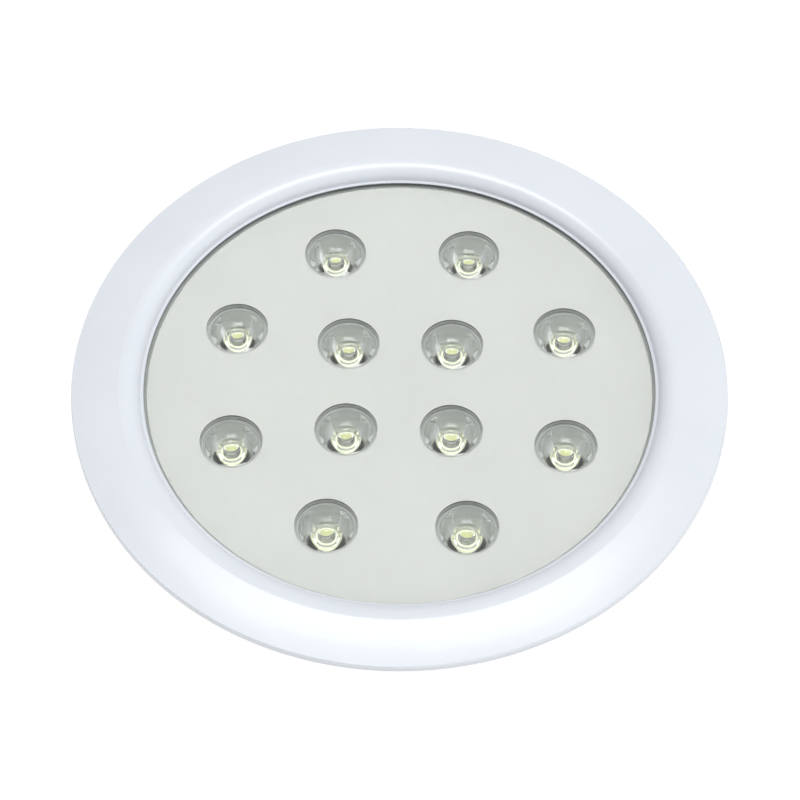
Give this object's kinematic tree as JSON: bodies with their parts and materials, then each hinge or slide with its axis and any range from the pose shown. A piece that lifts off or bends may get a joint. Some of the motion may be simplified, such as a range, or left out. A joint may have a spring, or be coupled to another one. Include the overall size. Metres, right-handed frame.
{
  "type": "underwater pool light",
  "caption": "Round flat wall light for a pool: rolled white ring over a glass front, LEDs with clear collimators behind a pierced mask, sealed housing and twist-on wall bracket.",
  "frame": {"origin": "centre of the bracket's wall face", "axes": "+Z out of the wall, along the light's beam; +Y up on the wall"},
  "size_m": [0.23, 0.23, 0.0555],
  "materials": {
    "ring_plastic": "glossy moulded white ABS",
    "glass": "polished toughened glass, faintly green",
    "silicone": "smooth moulded silicone",
    "mask_plastic": "fine matte moulded plastic",
    "optic_acrylic": "polished clear acrylic",
    "holder_plastic": "satin moulded plastic",
    "emitter_resin": "moulded LED package with a phosphor disc",
    "led_board": "white solder mask over aluminium",
    "thermal_pad": "soft silicone pad",
    "cast_aluminium": "as cast",
    "housing_plastic": "fine-textured moulded plastic",
    "bracket_plastic": "fine-textured moulded plastic",
    "wire": "insulated wire",
    "circuit_board": "green solder mask",
    "wound_core": "enamelled copper winding on a ferrite core",
    "capacitor_sleeve": "printed plastic sleeve",
    "chip_resin": "moulded epoxy",
    "terminal_plastic": "moulded plastic",
    "gland_nylon": "moulded nylon",
    "gland_rubber": "moulded rubber",
    "stainless": "A4 stainless steel"
  },
  "bodies": {
    "bracket": {"wall_bracket": "bracket_plastic"},
    "lamp": {"rear_housing": "housing_plastic", "face_ring": "ring_plastic", "front_glass": "glass", "lens_gasket": "silicone", "mask_plate": "mask_plastic", "led_board": "led_board", "thermal_pad": "thermal_pad", "heat_sink": "cast_aluminium", "led_leads": "wire", "driver_board": "circuit_board", "driver_choke": "wound_core", "driver_capacitors": "capacitor_sleeve", "driver_chips": "chip_resin", "terminal_block": "terminal_plastic", "gland_body": "gland_nylon", "gland_nut": "gland_nylon", "gland_seal": "gland_rubber", "gland_washer": "gland_rubber", "gland_locknut": "gland_nylon", "collimator_01": "optic_acrylic", "collimator_02": "optic_acrylic", "collimator_03": "optic_acrylic", "collimator_04": "optic_acrylic", "collimator_05": "optic_acrylic", "collimator_06": "optic_acrylic", "collimator_07": "optic_acrylic", "collimator_08": "optic_acrylic", "collimator_09": "optic_acrylic", "collimator_10": "optic_acrylic", "collimator_11": "optic_acrylic", "collimator_12": "optic_acrylic", "lens_holder_01": "holder_plastic", "lens_holder_02": "holder_plastic", "lens_holder_03": "holder_plastic", "lens_holder_04": "holder_plastic", "lens_holder_05": "holder_plastic", "lens_holder_06": "holder_plastic", "lens_holder_07": "holder_plastic", "lens_holder_08": "holder_plastic", "lens_holder_09": "holder_plastic", "lens_holder_10": "holder_plastic", "lens_holder_11": "holder_plastic", "lens_holder_12": "holder_plastic", "emitter_01": "emitter_resin", "emitter_02": "emitter_resin", "emitter_03": "emitter_resin", "emitter_04": "emitter_resin", "emitter_05": "emitter_resin", "emitter_06": "emitter_resin", "emitter_07": "emitter_resin", "emitter_08": "emitter_resin", "emitter_09": "emitter_resin", "emitter_10": "emitter_resin", "emitter_11": "emitter_resin", "emitter_12": "emitter_resin", "ring_screws": "stainless", "sink_screws": "stainless", "board_screws": "stainless", "driver_screws": "stainless"}
  },
  "joints": [
    {"name": "twist_lock", "type": "hinge", "parent": "bracket", "child": "lamp", "pos_m": [0, 0, 0], "axis": [0, 0, 1], "range_deg": [0, 18]}
  ]
}
